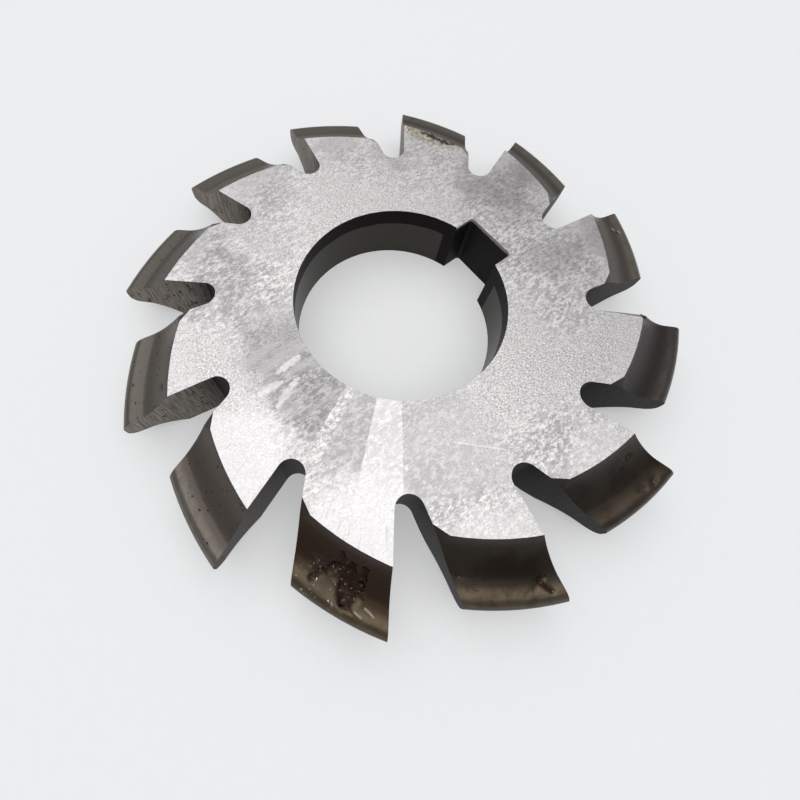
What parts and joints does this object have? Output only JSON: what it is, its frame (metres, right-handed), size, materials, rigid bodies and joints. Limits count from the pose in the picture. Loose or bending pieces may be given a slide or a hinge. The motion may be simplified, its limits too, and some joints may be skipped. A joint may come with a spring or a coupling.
{
  "type": "gear milling cutter",
  "caption": "Disc-shaped form-relieved milling cutter for gear teeth, with a plain keyed bore and flat ground sides.",
  "frame": {"origin": "on the bore axis, at the lower side face that the cutter lies on", "axes": "+Z along the bore axis, out of the upper side face; +Y from the bore axis through the middle of the keyway; seen from +Z the teeth cut turning anticlockwise"},
  "size_m": [0.059, 0.059, 0.008],
  "materials": {
    "tool_steel": "ground sides, darkened and pitted teeth and gashes"
  },
  "bodies": {
    "root": {"cutter": "tool_steel"}
  },
  "joints": []
}
